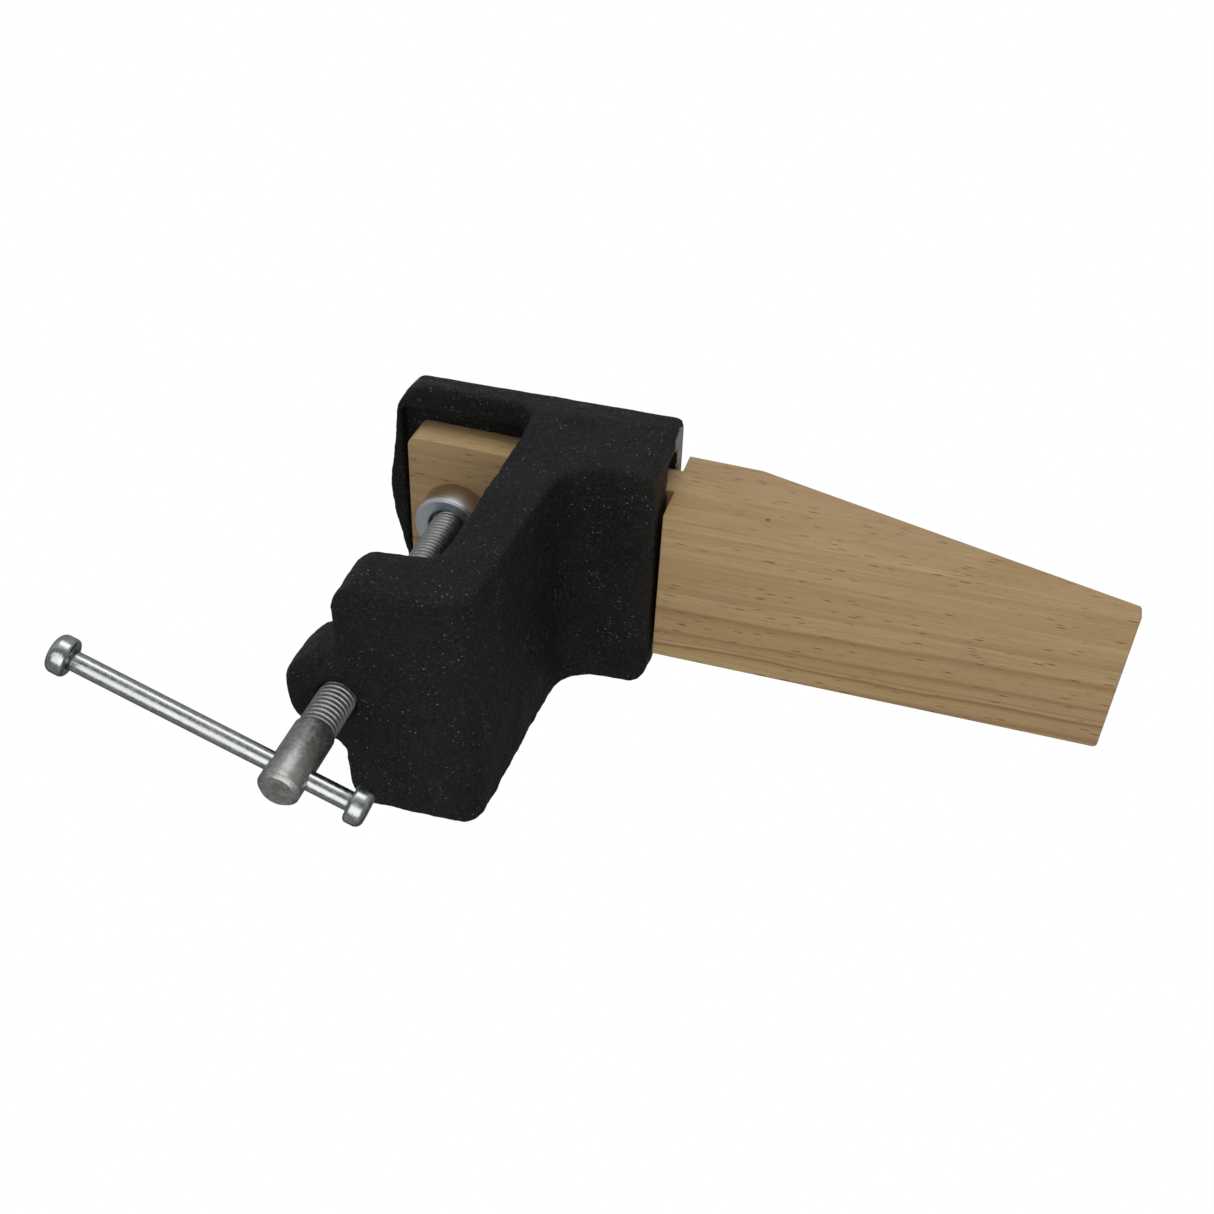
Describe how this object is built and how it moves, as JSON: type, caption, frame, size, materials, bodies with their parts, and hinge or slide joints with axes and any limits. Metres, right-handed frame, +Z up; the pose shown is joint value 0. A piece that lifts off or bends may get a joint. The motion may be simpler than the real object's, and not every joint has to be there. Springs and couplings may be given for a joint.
{
  "type": "bench vise with anvil and bench pin",
  "caption": "Clamp-on jewellery bench vise: anvil plate over a wooden wedge pin, with a clamp screw, swivel pad and sliding tommy bar under a C-shaped cast frame.",
  "frame": {"origin": "where the bench top meets the inner wall of the throat, on the middle plane", "axes": "+X along the bench pin towards its tip, +Z up out of the anvil face"},
  "size_m": [0.3003, 0.0894, 0.1649],
  "materials": {
    "painted_casting": "black textured paint, anvil face ground bright",
    "beech": "planed beech, unfinished",
    "zinc_steel": "zinc plated, dull",
    "zinc_pad": "zinc plated, satin",
    "bright_steel": "bright plated"
  },
  "bodies": {
    "frame": {"clamp_frame": "painted_casting"},
    "pin": {"bench_pin": "beech"},
    "pad": {"swivel_pad": "zinc_pad"},
    "screw": {"clamp_screw": "zinc_steel", "pad_washer": "zinc_pad"},
    "bar": {"tommy_bar": "bright_steel", "bar_cap_far": "bright_steel", "bar_cap_near": "bright_steel"}
  },
  "joints": [
    {"name": "pin_slide", "type": "slide", "parent": "frame", "child": "pin", "axis": [1, 0, 0], "range_m": [0, 0.1]},
    {"name": "clamp_travel", "type": "slide", "parent": "frame", "child": "pad", "axis": [0, 0, 1], "range_m": [-0.06825, 0]},
    {"name": "screw_turn", "type": "hinge", "parent": "pad", "child": "screw", "pos_m": [-0.0272, 0, 0], "axis": [0, 0, 1], "range_deg": [-14040.1, 0]},
    {"name": "bar_slide", "type": "slide", "parent": "screw", "child": "bar", "axis": [0.9323, 0.3616, 0], "range_m": [-0.0125, 0.062]}
  ],
  "couplings": [
    {"joint": "screw_turn", "follows": "clamp_travel", "rad_per_m": 3590.4}
  ]
}
